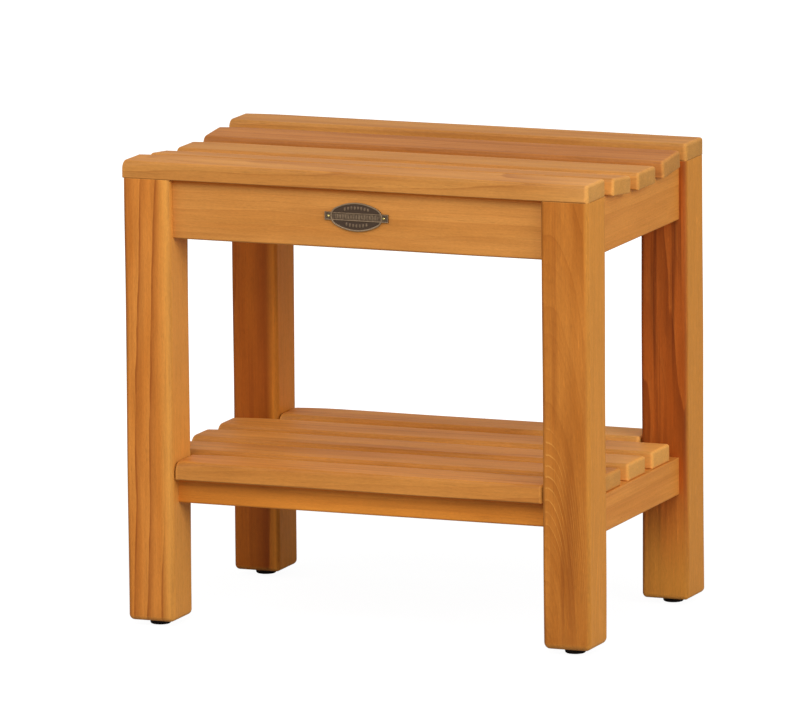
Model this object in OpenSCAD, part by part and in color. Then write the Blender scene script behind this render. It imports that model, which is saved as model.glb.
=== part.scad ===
// Slatted shower bench in solid teak: four square legs, a dished seat and a shelf of five
// slats each, rails and aprons tenoned into the legs, and a screw glide under every leg.
// Millimetres. +Z is up, -Y the front, and +X the right-hand side as seen from the front.
// The origin is on the floor, under the middle of the bench.

/* [Overall] */
// Width over the legs
bench_w = 450; // [400:1:600]
// Depth over the legs
bench_d = 297.5; // [280:0.5:380]
// Height of the seat's front and back edges above the floor, glides screwed in
seat_h = 429; // [380:1:500]

/* [Legs] */
// Leg section along the width
leg_w = 45.5; // [42:0.5:50]
// Leg section along the depth, also the width of the slats that cap the legs
leg_d = 45.5; // [42:0.5:50]
// Radius on the legs' upright edges
leg_edge_r = 4; // [1:0.5:8]
// Radius round the bottom of the legs
leg_foot_r = 5; // [1:0.5:8]

/* [Slats] */
// Thickness of every slat
slat_t = 16; // [14:0.5:20]
// Width of the three middle slats of the seat and of the shelf
slat_w = 45; // [36:0.5:46]
// Radius along the slats' long edges
slat_edge_r = 3; // [1:0.5:5]
// Radius across the slats' ends
slat_end_r = 3; // [1:0.5:5]
// Radius round the underside of the two slats that cap the legs
slat_joint_r = 1; // [0.5:0.1:1]

/* [Seat] */
// How far the seat dips from its edges to its middle
seat_dip = 7.5; // [5:0.5:12]
// How far the three middle slats reach past the legs' outer faces
seat_slat_reach = 1; // [0:0.5:2]
// Depth of the aprons and of the dished end rails below the leg tops
apron_h = 54.5; // [50:0.5:70]
// Front and rear aprons, distance behind the legs' outer faces
apron_setback = 8; // [6:0.5:10]
// Dished end rails, distance inside the legs' outer faces
seat_rail_setback = 7.5; // [6:0.5:10]

/* [Shelf] */
// Height of the shelf's top above the floor
shelf_h = 154.5; // [120:1:200]
// Width of the shelf's front and rear slats
shelf_edge_slat_w = 45; // [36:0.5:46]
// Front and rear slats, distance behind the legs' outer faces
shelf_edge_setback = 2.5; // [1:0.5:6]
// Gap between the legs and the ends of the front and rear slats
shelf_edge_gap = 1.25; // [0.5:0.25:6]
// Middle slats, distance from their ends to the end rails' outer faces
shelf_slat_inset = 1.75; // [0:0.25:6]
// Height of the front and rear shelf rails
shelf_rail_h = 24; // [20:0.5:32]
// Front and rear shelf rails, distance behind the legs' outer faces
shelf_rail_setback = 14; // [10:0.5:16]
// Height of the shelf's end rails
shelf_end_rail_h = 35; // [30:0.5:50]
// Shelf end rails, distance inside the legs' outer faces
shelf_end_rail_setback = 8.5; // [6:0.5:10]

/* [Rails and tenons] */
// Thickness of the aprons and rails
rail_t = 20; // [16:0.5:22]
// Radius on the rails' exposed long edges
rail_edge_r = 2; // [0.5:0.5:4]
// Thickness of the tenons
tenon_t = 10; // [6:0.5:11]
// Shoulder above and below the tenons
tenon_shoulder = 5; // [3:0.5:6]
// Length of the tenons that run front to back
tenon_l = 18; // [12:0.5:22]
// Wood left between the two mortises that meet in a leg
mortise_web = 3; // [2:0.5:5]
// Spare depth at the blind end of a mortise or dowel hole
blind_gap = 1; // [0.5:0.5:2]
// Glue clearance round tenons, dowels, inserts, screws and pins
glue_gap = 0.1; // [0.05:0.05:0.2]

/* [Dowels] */
// Diameter of the dowels that hold the capping slats on the legs
dowel_d = 8; // [6:0.5:9]
// Length of a dowel inside the leg
dowel_leg_l = 20; // [14:1:30]
// Length of a dowel inside the slat
dowel_slat_l = 9; // [6:0.5:11]
// From the leg's faces to the dowels' centres
dowel_inset = 10.5; // [9:0.5:12]

/* [Slat screws] */
// Shank diameter
screw_d = 4; // [3:0.5:5]
// Length under the head
screw_l = 30; // [26:1:32]
// Length that bites into the slat
screw_bite = 11; // [8:0.5:12]
// Head diameter
screw_head_d = 8; // [7:0.5:9]
// Head height
screw_head_h = 2.5; // [2:0.1:3.5]
// Length of the cross recess in the head
screw_recess_l = 4.8; // [3.5:0.1:5]
// Width of the cross recess
screw_recess_w = 1.2; // [0.8:0.1:1.6]
// Length of the tapered tip
screw_tip_l = 4; // [2:0.5:6]
// Diameter at the end of the tip
screw_tip_d = 1; // [0.5:0.1:2]
// Play round the head in its counterbore
counterbore_play = 1; // [0.5:0.25:1.5]
// From the middle of the bench to the screws in the shelf's long rails
shelf_screw_x = 120; // [80:1:140]

/* [Glides] */
// Pad diameter
glide_d = 19; // [16:1:26]
// Pad height, the gap under the legs
glide_h = 5.5; // [4:0.5:10]
// Radius round the pad's lower rim
glide_rim_r = 1.8; // [0.5:0.1:2]
// Stem diameter
stem_d = 6; // [5:0.5:8]
// Stem length above the pad
stem_l = 25; // [22:1:32]
// Stem length moulded into the pad
stem_root = 3; // [2:0.5:3.5]
// Chamfer round the stem's upper end
stem_chamfer = 1; // [0.5:0.1:1.5]
// Running clearance between the stem and its insert
stem_play = 0.06; // [0.05:0.01:0.1]
// Outer diameter of the insert's barrel
insert_d = 10; // [9.5:0.5:12]
// Length of the insert
insert_l = 15; // [12:1:20]
// Diameter of the insert's flange
insert_flange_d = 14; // [13.5:0.5:16]
// Thickness of the insert's flange
insert_flange_t = 1.5; // [1:0.25:2.5]

/* [Nameplate] */
// Length of the oval
plate_w = 50; // [40:1:60]
// Height of the oval
plate_h = 26; // [20:1:34]
// Radius of the oval's tips
plate_tip_r = 9; // [5:0.5:9.5]
// Thickness of the plate
plate_t = 1.2; // [0.8:0.1:2]
// Width of the raised rim
plate_rim_w = 1.4; // [1:0.1:2]
// Height of the rim and the strap above the plate
plate_relief = 0.6; // [0.3:0.1:1]
// Length of the strap across the plate
strap_l = 61.5; // [58:0.5:76]
// Width of the strap
strap_w = 7.3; // [6:0.1:10]
// Depth of the plate's middle below the leg tops
plate_drop = 25; // [20:0.5:27]
// Shank diameter of the two pins
pin_d = 1.2; // [0.8:0.1:1.6]
// Head diameter of the pins
pin_head_d = 2.4; // [2:0.1:3]
// Head height of the pins
pin_head_h = 0.8; // [0.4:0.1:1.2]
// Length of the pins inside the apron
pin_l = 8; // [5:0.5:12]
// From the strap's ends to the pins
pin_inset = 4; // [3:0.5:6]

/* [Hidden] */

$fn = 48;
cut = 1;                                     // how far a cutting solid runs past a face
half_w = bench_w / 2;
half_d = bench_d / 2;
left = -1;
right = 1;
front = -1;
rear = 1;

leg_top = seat_h - slat_t;
leg_h = leg_top - glide_h;
leg_x = half_w - leg_w / 2;                  // leg centre
leg_y = half_d - leg_d / 2;
clear_w = bench_w - 2 * leg_w;               // between the legs
clear_d = bench_d - 2 * leg_d;

slat_pitch = (clear_d - 3 * slat_w) / 4 + slat_w;
dish_r = (pow(clear_d / 2, 2) + pow(seat_dip, 2)) / (2 * seat_dip);
dish_z = seat_h - seat_dip + dish_r;         // the seat curves about a line at this height
dish_fn = 720;                               // sides of the circle that the seat follows
plate_fn = 180;                              // sides of the circles that bound the plate

apron_y = half_d - apron_setback - rail_t / 2;
seat_rail_x = half_w - seat_rail_setback - rail_t / 2;
shelf_under = shelf_h - slat_t;
shelf_rail_y = half_d - shelf_rail_setback - rail_t / 2;
shelf_end_rail_x = half_w - shelf_end_rail_setback - rail_t / 2;
shelf_slat_l = 2 * (shelf_end_rail_x + rail_t / 2 - shelf_slat_inset);
shelf_edge_slat_l = clear_w - 2 * shelf_edge_gap;
shelf_edge_slat_y = half_d - shelf_edge_setback - shelf_edge_slat_w / 2;

// A tenon that runs left to right stops short of the mortise that crosses its way in the leg.
apron_tenon_l = seat_rail_x - tenon_t / 2 - mortise_web - clear_w / 2;
shelf_tenon_l = shelf_end_rail_x - tenon_t / 2 - mortise_web - clear_w / 2;

screw_grip = screw_l - screw_bite;           // wood between the head and the slat
plate_z = leg_top - plate_drop;
plate_tip_x = plate_w / 2 - plate_tip_r;
plate_arc_r = (pow(plate_tip_x, 2) + pow(plate_h / 2, 2) - pow(plate_tip_r, 2))
  / (plate_h - 2 * plate_tip_r);             // long arcs that the tips run into smoothly
plate_arc_y = plate_arc_r - plate_h / 2;
pin_x = strap_l / 2 - pin_inset;

teak = "#c9853f";
teak_dark = "#b06a2c";
teak_light = "#d99b55";

// ---- shapes that repeat ----

// Rectangle of w by h about the origin, with its corners rounded.
module rounded_outline(w, h, r) {
  square([w - 2 * r, h], center = true);
  square([w, h - 2 * r], center = true);
  for (x = [-1, 1], y = [-1, 1])
    translate([x * (w / 2 - r), y * (h / 2 - r)]) circle(r);
}

// Rectangle of w by h standing on y = 0, with only its two lower corners rounded.
module footed_outline(w, h, r) {
  translate([-w / 2, r]) square([w, h - r]);
  translate([-w / 2 + r, 0]) square([w - 2 * r, h]);
  for (x = [-1, 1]) translate([x * (w / 2 - r), r]) circle(r);
}

// Rectangle of w by h about the origin, rounded by top_r above and by the smaller under_r below.
module two_radius_outline(w, h, top_r, under_r) {
  rounded_outline(w, h, top_r);
  translate([0, -h / 2]) footed_outline(w, h / 2, under_r);
}

// Outlines drawn in the plane seen from the front or from the side, made into bars.
module along_y(l) rotate([90, 0, 0]) linear_extrude(l, center = true) children();
module along_x(l) rotate([90, 0, 90]) linear_extrude(l, center = true) children();

// A slat of length l and width w whose underside lies on z = 0, rounded on all its edges.
module slat(l, w, edge_under_r = slat_edge_r, end_under_r = slat_end_r, corner_r = slat_end_r) {
  translate([0, 0, slat_t / 2]) intersection() {
    along_x(l + 2 * cut) two_radius_outline(w, slat_t, slat_edge_r, edge_under_r);
    along_y(w + 2 * cut) two_radius_outline(l, slat_t, slat_end_r, end_under_r);
    linear_extrude(slat_t + 2 * cut, center = true) rounded_outline(l, w, corner_r);
  }
}

// Moves what is drawn for the rear right corner to the corner that side (left or right) and
// end (front or rear) name.
module at_corner(side, end) {
  mirror([side == left ? 1 : 0, 0, 0]) mirror([0, end == front ? 1 : 0, 0]) children();
}

// The middle of a seat slat's underside, for the slat whose middle lies y behind the bench's.
module at_seat_slat(y) {
  translate([0, 0, dish_z]) rotate([asin(y / dish_r), 0, 0]) translate([0, 0, -dish_r - slat_t])
    children();
}

// ---- tenons, each drawn at its real place for the rear right corner ----

module apron_tenon(gap = 0, spare = 0) {
  l = apron_tenon_l + spare;
  h = apron_h - 2 * tenon_shoulder;
  translate([clear_w / 2 + l / 2 - cut / 2, apron_y, leg_top - apron_h / 2])
    cube([l + cut, tenon_t + 2 * gap, h + 2 * gap], center = true);
}

module seat_rail_tenon(gap = 0, spare = 0) {
  l = tenon_l + spare;
  h = apron_h - 2 * tenon_shoulder;
  translate([seat_rail_x, clear_d / 2 + l / 2 - cut / 2, leg_top - apron_h / 2])
    cube([tenon_t + 2 * gap, l + cut, h + 2 * gap], center = true);
}

module shelf_rail_tenon(gap = 0, spare = 0) {
  l = shelf_tenon_l + spare;
  h = shelf_rail_h - 2 * tenon_shoulder;
  translate([clear_w / 2 + l / 2 - cut / 2, shelf_rail_y, shelf_under - shelf_rail_h / 2])
    cube([l + cut, tenon_t + 2 * gap, h + 2 * gap], center = true);
}

module shelf_end_rail_tenon(gap = 0, spare = 0) {
  l = tenon_l + spare;
  h = shelf_end_rail_h - 2 * tenon_shoulder;
  translate([shelf_end_rail_x, clear_d / 2 + l / 2 - cut / 2, shelf_under - shelf_end_rail_h / 2])
    cube([tenon_t + 2 * gap, l + cut, h + 2 * gap], center = true);
}

// ---- dowels and screws ----

// The two dowels of the rear right leg: one by its outer corner, one by its inner corner.
module corner_dowels(gap = 0, spare = 0) {
  l = dowel_leg_l + dowel_slat_l + 2 * spare;
  for (s = [-1, 1])
    translate([leg_x + s * (leg_w / 2 - dowel_inset), leg_y + s * (leg_d / 2 - dowel_inset),
               leg_top - dowel_leg_l - spare])
      cylinder(h = l, d = dowel_d + 2 * gap);
}

// A pan-head screw driven upwards. The slat's underside is z = 0, so its head lies below:
// half of its height is straight, and the other half slopes in at 45 degrees.
module slat_screw() {
  half_head = screw_head_h / 2;
  difference() {
    union() {
      translate([0, 0, -screw_grip]) cylinder(h = screw_l - screw_tip_l, d = screw_d);
      translate([0, 0, screw_bite - screw_tip_l])
        cylinder(h = screw_tip_l, d1 = screw_d, d2 = screw_tip_d);
      translate([0, 0, -screw_grip - half_head]) cylinder(h = half_head, d = screw_head_d);
      translate([0, 0, -screw_grip - screw_head_h])
        cylinder(h = half_head, d1 = screw_head_d - 2 * half_head, d2 = screw_head_d);
    }
    for (turn = [0, 90])
      translate([0, 0, -screw_grip - screw_head_h]) rotate([0, 0, turn])
        cube([screw_recess_l, screw_recess_w, screw_head_h], center = true);
  }
}

// What a screw needs cut out of the rail under a slat, and out of the slat itself.
module screw_way() {
  translate([0, 0, -screw_grip - cut]) cylinder(h = screw_grip + 2 * cut, d = screw_d + 2 * glue_gap);
  translate([0, 0, -screw_grip - apron_h])
    cylinder(h = apron_h, d = screw_head_d + 2 * counterbore_play);
}

module screw_pilot() {
  translate([0, 0, -cut]) cylinder(h = screw_bite + blind_gap + cut, d = screw_d + 2 * glue_gap);
}

// Where the screws go: three seat slats on one end rail, and the shelf's slats on their rails.
module on_seat_rail() {
  for (y = [-slat_pitch, 0, slat_pitch]) at_seat_slat(y) translate([seat_rail_x, 0, 0]) children();
}

module on_shelf_end_rail() {
  for (y = [-slat_pitch, 0, slat_pitch]) translate([shelf_end_rail_x, y, shelf_under]) children();
}

module on_shelf_rail() {
  for (x = [-shelf_screw_x, shelf_screw_x]) translate([x, shelf_rail_y, shelf_under]) children();
}

// ---- legs ----

module leg(side, end) {
  color(end == front ? teak : teak_dark) at_corner(side, end) difference() {
    translate([leg_x, leg_y, glide_h]) intersection() {
      linear_extrude(leg_h) rounded_outline(leg_w, leg_d, leg_edge_r);
      along_x(leg_w + 2 * cut) footed_outline(leg_d, leg_h + cut, leg_foot_r);
      along_y(leg_d + 2 * cut) footed_outline(leg_w, leg_h + cut, leg_foot_r);
    }
    apron_tenon(glue_gap, blind_gap);
    seat_rail_tenon(glue_gap, blind_gap);
    shelf_rail_tenon(glue_gap, blind_gap);
    shelf_end_rail_tenon(glue_gap, blind_gap);
    corner_dowels(glue_gap, blind_gap);
    translate([leg_x, leg_y, glide_h]) insert_seat();
  }
}

module leg_front_left() leg(left, front);
module leg_front_right() leg(right, front);
module leg_rear_left() leg(left, rear);
module leg_rear_right() leg(right, rear);

// ---- aprons and rails ----

module apron(end) {
  color(teak) at_corner(right, end) {
    translate([0, apron_y, leg_top - apron_h]) along_x(clear_w)
      footed_outline(rail_t, apron_h, rail_edge_r);
    for (side = [left, right]) at_corner(side, rear) apron_tenon();
  }
}

module front_apron() {
  difference() {
    apron(front);
    for (x = [-pin_x, pin_x]) translate([x, 0, plate_z]) pin_hole();
  }
}

module rear_apron() apron(rear);

// Side view of a dished end rail: its top follows the seat, with a flat under each slat.
module seat_rail_outline() {
  difference() {
    translate([-clear_d / 2, leg_top - apron_h]) square([clear_d, apron_h]);
    translate([0, dish_z]) circle(dish_r + slat_t, $fn = dish_fn);
    for (y = [-slat_pitch, 0, slat_pitch])
      translate([0, dish_z]) rotate(asin(y / dish_r)) translate([-slat_w / 2, -dish_r - slat_t])
        square([slat_w, slat_t]);
  }
}

module seat_rail(side) {
  color(teak) at_corner(side, rear) difference() {
    union() {
      intersection() {
        translate([seat_rail_x, 0, 0]) along_x(rail_t) seat_rail_outline();
        translate([seat_rail_x, 0, leg_top - apron_h]) along_y(clear_d)
          footed_outline(rail_t, apron_h, rail_edge_r);
      }
      for (end = [front, rear]) at_corner(right, end) seat_rail_tenon();
    }
    on_seat_rail() screw_way();
  }
}

module seat_rail_left() seat_rail(left);
module seat_rail_right() seat_rail(right);

module shelf_rail(end) {
  color(teak) at_corner(right, end) difference() {
    union() {
      translate([0, shelf_rail_y, shelf_under - shelf_rail_h]) along_x(clear_w)
        footed_outline(rail_t, shelf_rail_h, rail_edge_r);
      for (side = [left, right]) at_corner(side, rear) shelf_rail_tenon();
    }
    on_shelf_rail() screw_way();
  }
}

module shelf_rail_front() shelf_rail(front);
module shelf_rail_rear() shelf_rail(rear);

module shelf_end_rail(side) {
  color(teak) at_corner(side, rear) difference() {
    union() {
      translate([shelf_end_rail_x, 0, shelf_under - shelf_end_rail_h]) along_y(clear_d)
        footed_outline(rail_t, shelf_end_rail_h, rail_edge_r);
      for (end = [front, rear]) at_corner(right, end) shelf_end_rail_tenon();
    }
    on_shelf_end_rail() screw_way();
  }
}

module shelf_rail_left() shelf_end_rail(left);
module shelf_rail_right() shelf_end_rail(right);

// ---- seat ----

// The front and rear slats cap the legs, and their corners run on into the legs' upright edges.
module capping_slat(end) {
  color(teak_light) at_corner(right, end) difference() {
    translate([0, leg_y, leg_top])
      slat(bench_w, leg_d, slat_joint_r, slat_joint_r, leg_edge_r);
    for (side = [left, right]) at_corner(side, rear) corner_dowels(glue_gap, blind_gap);
  }
}

module dished_slat(y) {
  color(teak_light) difference() {
    at_seat_slat(y) slat(bench_w + 2 * seat_slat_reach, slat_w);
    for (side = [left, right]) at_corner(side, rear) on_seat_rail() screw_pilot();
  }
}

module seat_slat_front() capping_slat(front);
module seat_slat_second() dished_slat(-slat_pitch);
module seat_slat_middle() dished_slat(0);
module seat_slat_fourth() dished_slat(slat_pitch);
module seat_slat_rear() capping_slat(rear);

module seat_dowels() {
  color(teak_light) for (side = [left, right], end = [front, rear]) at_corner(side, end) corner_dowels();
}

module seat_screws() {
  color("silver") for (side = [left, right]) at_corner(side, rear) on_seat_rail() slat_screw();
}

// ---- shelf ----

// The front and rear slats fill the space between the legs.
module shelf_edge_slat(end) {
  color(teak_light) at_corner(right, end) difference() {
    translate([0, shelf_edge_slat_y, shelf_under]) slat(shelf_edge_slat_l, shelf_edge_slat_w);
    on_shelf_rail() screw_pilot();
  }
}

module shelf_slat(y) {
  color(teak_light) difference() {
    translate([0, y, shelf_under]) slat(shelf_slat_l, slat_w);
    for (side = [left, right]) at_corner(side, rear) on_shelf_end_rail() screw_pilot();
  }
}

module shelf_slat_front() shelf_edge_slat(front);
module shelf_slat_second() shelf_slat(-slat_pitch);
module shelf_slat_middle() shelf_slat(0);
module shelf_slat_fourth() shelf_slat(slat_pitch);
module shelf_slat_rear() shelf_edge_slat(rear);

module shelf_screws() {
  color("silver") {
    for (side = [left, right]) at_corner(side, rear) on_shelf_end_rail() slat_screw();
    for (end = [front, rear]) at_corner(right, end) on_shelf_rail() slat_screw();
  }
}

// ---- glides ----

// What a glide needs cut out of a leg whose bottom is z = 0.
module insert_seat() {
  translate([0, 0, -cut]) cylinder(h = insert_flange_t + cut, d = insert_flange_d + 2 * glue_gap);
  cylinder(h = insert_l + glue_gap, d = insert_d + 2 * glue_gap);
  cylinder(h = stem_l + blind_gap, d = stem_d + 2 * blind_gap);
}

module glide_inserts() {
  color("goldenrod") for (side = [left, right], end = [front, rear])
    at_corner(side, end) translate([leg_x, leg_y, glide_h]) difference() {
      union() {
        cylinder(h = insert_l, d = insert_d);
        cylinder(h = insert_flange_t, d = insert_flange_d);
      }
      translate([0, 0, -cut]) cylinder(h = insert_l + 2 * cut, d = stem_d + 2 * stem_play);
    }
}

// Round pad with a softened lower rim and a socket for the root of its stem.
module glide_pad(side, end) {
  flat_r = glide_d / 2 - glide_rim_r;
  color("#1c1c1c") at_corner(side, end) translate([leg_x, leg_y, 0]) difference() {
    rotate_extrude() {
      square([flat_r, glide_h]);
      translate([flat_r, glide_rim_r]) circle(glide_rim_r);
      translate([0, glide_rim_r]) square([glide_d / 2, glide_h - glide_rim_r]);
    }
    translate([0, 0, glide_h - stem_root - glue_gap])
      cylinder(h = stem_root + glue_gap + cut, d = stem_d + 2 * glue_gap);
  }
}

module glide_stem(side, end) {
  straight_l = stem_root + stem_l - stem_chamfer;
  color("gray") at_corner(side, end) translate([leg_x, leg_y, glide_h - stem_root]) {
    cylinder(h = straight_l, d = stem_d);
    translate([0, 0, straight_l])
      cylinder(h = stem_chamfer, d1 = stem_d, d2 = stem_d - 2 * stem_chamfer);
  }
}

module glide_pad_front_left() glide_pad(left, front);
module glide_pad_front_right() glide_pad(right, front);
module glide_pad_rear_left() glide_pad(left, rear);
module glide_pad_rear_right() glide_pad(right, rear);
module glide_stem_front_left() glide_stem(left, front);
module glide_stem_front_right() glide_stem(right, front);
module glide_stem_rear_left() glide_stem(left, rear);
module glide_stem_rear_right() glide_stem(right, rear);

// ---- nameplate ----

// Oval of two long arcs and two tips, drawn in by inset on all sides.
module plate_oval(inset = 0) {
  arc_r = plate_arc_r - inset;
  meet_x = plate_tip_x * arc_r / (plate_arc_r - plate_tip_r);
  intersection() {
    translate([0, plate_arc_y]) circle(arc_r, $fn = plate_fn);
    translate([0, -plate_arc_y]) circle(arc_r, $fn = plate_fn);
    square([2 * meet_x, plate_h], center = true);
  }
  for (x = [-plate_tip_x, plate_tip_x]) translate([x, 0]) circle(plate_tip_r - inset);
}

// Hole for a pin, from in front of the plate into the apron. y = 0 is the middle of the bench.
module pin_hole() {
  translate([0, -half_d, 0]) rotate([-90, 0, 0])
    cylinder(h = apron_setback + pin_l + blind_gap, d = pin_d + 2 * glue_gap);
}

module nameplate() {
  color("#5a4a36") difference() {
    translate([0, -half_d + apron_setback, plate_z]) rotate([90, 0, 0]) union() {
      linear_extrude(plate_t) plate_oval();
      linear_extrude(plate_t + plate_relief) difference() {
        plate_oval();
        plate_oval(plate_rim_w);
      }
      linear_extrude(plate_t + plate_relief) square([strap_l, strap_w], center = true);
    }
    for (x = [-pin_x, pin_x]) translate([x, 0, plate_z]) pin_hole();
  }
}

// The pins' heads are shaped as the screws' are.
module nameplate_pins() {
  face = plate_t + plate_relief;
  half_head = pin_head_h / 2;
  color("gold") for (x = [-pin_x, pin_x])
    translate([x, -half_d + apron_setback, plate_z]) rotate([90, 0, 0]) {
      translate([0, 0, -pin_l]) cylinder(h = pin_l + face, d = pin_d);
      translate([0, 0, face]) cylinder(h = half_head, d = pin_head_d);
      translate([0, 0, face + half_head])
        cylinder(h = half_head, d1 = pin_head_d, d2 = pin_head_d - 2 * half_head);
    }
}

leg_front_left();
leg_front_right();
leg_rear_left();
leg_rear_right();
front_apron();
rear_apron();
seat_rail_left();
seat_rail_right();
shelf_rail_front();
shelf_rail_rear();
shelf_rail_left();
shelf_rail_right();
seat_slat_front();
seat_slat_second();
seat_slat_middle();
seat_slat_fourth();
seat_slat_rear();
shelf_slat_front();
shelf_slat_second();
shelf_slat_middle();
shelf_slat_fourth();
shelf_slat_rear();
seat_dowels();
seat_screws();
shelf_screws();
glide_inserts();
glide_pad_front_left();
glide_pad_front_right();
glide_pad_rear_left();
glide_pad_rear_right();
glide_stem_front_left();
glide_stem_front_right();
glide_stem_rear_left();
glide_stem_rear_right();
nameplate();
nameplate_pins();
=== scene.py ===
"""The looks of a slatted teak shower bench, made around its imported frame.

Metres. +Z is up, -Y is the front and +X the right-hand side as seen from the front. What the
frame holds is read from it, and the other sizes are named here, in millimetres times MM.
"""

import math

import bmesh
import bpy
import numpy as np
from mathutils import Matrix, Vector


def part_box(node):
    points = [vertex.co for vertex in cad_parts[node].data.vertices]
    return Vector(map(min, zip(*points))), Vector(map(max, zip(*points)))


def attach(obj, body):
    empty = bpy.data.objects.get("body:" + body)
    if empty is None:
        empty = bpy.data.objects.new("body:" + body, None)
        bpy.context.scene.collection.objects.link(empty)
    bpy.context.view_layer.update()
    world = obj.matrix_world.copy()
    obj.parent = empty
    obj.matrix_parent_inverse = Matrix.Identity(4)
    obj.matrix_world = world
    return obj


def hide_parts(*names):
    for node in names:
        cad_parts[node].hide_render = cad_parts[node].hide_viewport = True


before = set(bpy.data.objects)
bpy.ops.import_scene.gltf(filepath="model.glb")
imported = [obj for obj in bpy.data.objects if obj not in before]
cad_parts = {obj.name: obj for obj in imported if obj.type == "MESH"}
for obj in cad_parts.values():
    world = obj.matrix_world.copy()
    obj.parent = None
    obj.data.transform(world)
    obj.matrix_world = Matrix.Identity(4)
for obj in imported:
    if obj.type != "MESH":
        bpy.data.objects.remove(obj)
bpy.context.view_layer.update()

MM = 0.001
PER_M = 1000                                            # millimetres in a metre
ENDS = ("front", "rear")
SIDES = ("left", "right")
FIRST_SEED = {"legs": 1, "aprons": 11, "capping": 21, "dished": 31, "shelf": 41, "rails": 51,
              "dowels": 61}

# ---- what the frame says ----

post_low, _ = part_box("leg_rear_right")
_, cap_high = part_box("seat_slat_rear")
middle_low, middle_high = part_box("seat_slat_middle")
CLEAR_X = post_low.x                                    # from the middle to the legs' inner faces
CLEAR_Y = post_low.y
SLAT_W = middle_high.y - middle_low.y
SLAT_PITCH = (2 * CLEAR_Y - 3 * SLAT_W) / 4 + SLAT_W    # three slats and four gaps between legs
SEAT_DIP = cap_high.z - middle_high.z
DISH_R = (CLEAR_Y ** 2 + SEAT_DIP ** 2) / (2 * SEAT_DIP)
DISH_Z = middle_high.z + DISH_R                         # height of the line the seat curves about


# ---- meshes ----


def solid(name, shells, body, nodes, marks=None):
    """One piece made of closed shells, each (points, faces), that rides on body and stands for
    nodes. marks are numbers kept on its points for the materials to read."""
    points, faces, first = [], [], 0
    for shell_points, shell_faces in shells:
        points.append(np.asarray(shell_points).reshape(-1, 3))
        faces += [[first + i for i in face] for face in shell_faces]
        first += len(points[-1])
    mesh = bpy.data.meshes.new(name)
    mesh.from_pydata(np.concatenate(points).tolist(), [], faces)
    shape = bmesh.new()
    shape.from_mesh(mesh)
    bmesh.ops.recalc_face_normals(shape, faces=shape.faces)
    shape.to_mesh(mesh)
    shape.free()
    mesh.polygons.foreach_set("use_smooth", np.ones(len(mesh.polygons), bool))
    for label, values in (marks or {}).items():
        mesh.attributes.new(label, "FLOAT", "POINT").data.foreach_set("value", values.ravel())
    thing = bpy.data.objects.new(name, mesh)
    bpy.context.scene.collection.objects.link(thing)
    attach(thing, body)
    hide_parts(*nodes)
    return thing


def skin(rows, around):
    """Faces of a closed tube of rings: quads between neighbouring rings, and a lid over each
    end."""
    start = np.arange(rows - 1)[:, None] * around
    here = np.arange(around)
    there = (here + 1) % around
    quads = [start + here, start + there, start + there + around, start + here + around]
    lids = [list(range(around)), list(range((rows - 1) * around, rows * around))]
    return np.stack(quads, -1).reshape(-1, 4).tolist() + lids


ARC_STEPS = 7                                           # points on a rounded long edge
FLAT_AT = np.array([0.02, 0.12, 0.3, 0.5, 0.7, 0.88, 0.98])
ROLL_STEPS = 8                                          # rings over a rolled end
LONG_STEP = 9 * MM                                      # between rings elsewhere
STRAY = 0.12 * MM                                       # the most that a sanded face strays
STRAY_WAVES = (0.031, 0.052)
EDGE_STRAY, EDGE_WAVE = 0.16, 0.043                     # share of an edge's radius, and its wave
LEAST_R = 0.15 * MM
BLUNT_REACH = 45 * MM                                   # how far from the start an edge is blunt


def drift(along, seed):
    """How far a hand-sanded face has strayed inwards, from 0 to STRAY: a long wave along the
    board times a longer one, both shifted by the seed."""
    first, second = STRAY_WAVES
    wave = np.sin(along / first + 2.4 * seed) * np.cos(along / second + 1.7 * seed)
    return STRAY * (0.5 + 0.5 * wave)


def rolled(gap, radius):
    """Inset of a face whose end rolls over on a quarter circle, at a gap from the end:
    r minus the square root of r squared minus (r minus gap) squared, and 0 past the roll."""
    left = radius - np.clip(gap, 0, radius)
    return radius - np.sqrt(radius ** 2 - left ** 2)


def section(half, low, high, r_low, r_high):
    """Rounded rectangles as points (across, up), one row for each station. A corner's points are
    its circle's centre plus r times (cos, sin) of a quarter turn, and each flat is a straight
    blend from one corner's end to the next one's start. Also returns each point's share of a
    corner, the sine of twice its quarter turn, and how far it faces sideways, the square of its
    normal's part across."""
    bend = np.linspace(0, math.pi / 2, ARC_STEPS)
    flat = np.zeros(len(FLAT_AT))
    arcs = []
    for k, side in enumerate((1, -1, -1, 1)):
        r = r_high if k < 2 else r_low
        centre = (side * (half - r), high - r if k < 2 else low + r)
        turn = bend + k * math.pi / 2
        arcs.append(np.stack([centre[0][:, None] + r[:, None] * np.cos(turn),
                              centre[1][:, None] + r[:, None] * np.sin(turn)], -1))
    parts = []
    for k in range(4):
        start = arcs[k][:, -1:]
        end = arcs[(k + 1) % 4][:, :1]
        parts += [arcs[k], start + (end - start) * FLAT_AT[:, None]]
    rounding = np.concatenate([np.sin(2 * bend), flat] * 4)
    # How far each point faces sideways, which sets where the slats' sides get painted shade.
    flank = np.concatenate([np.cos(bend) ** 2, flat, np.sin(bend) ** 2, flat + 1] * 2)
    return np.concatenate(parts, 1), rounding, flank


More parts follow.
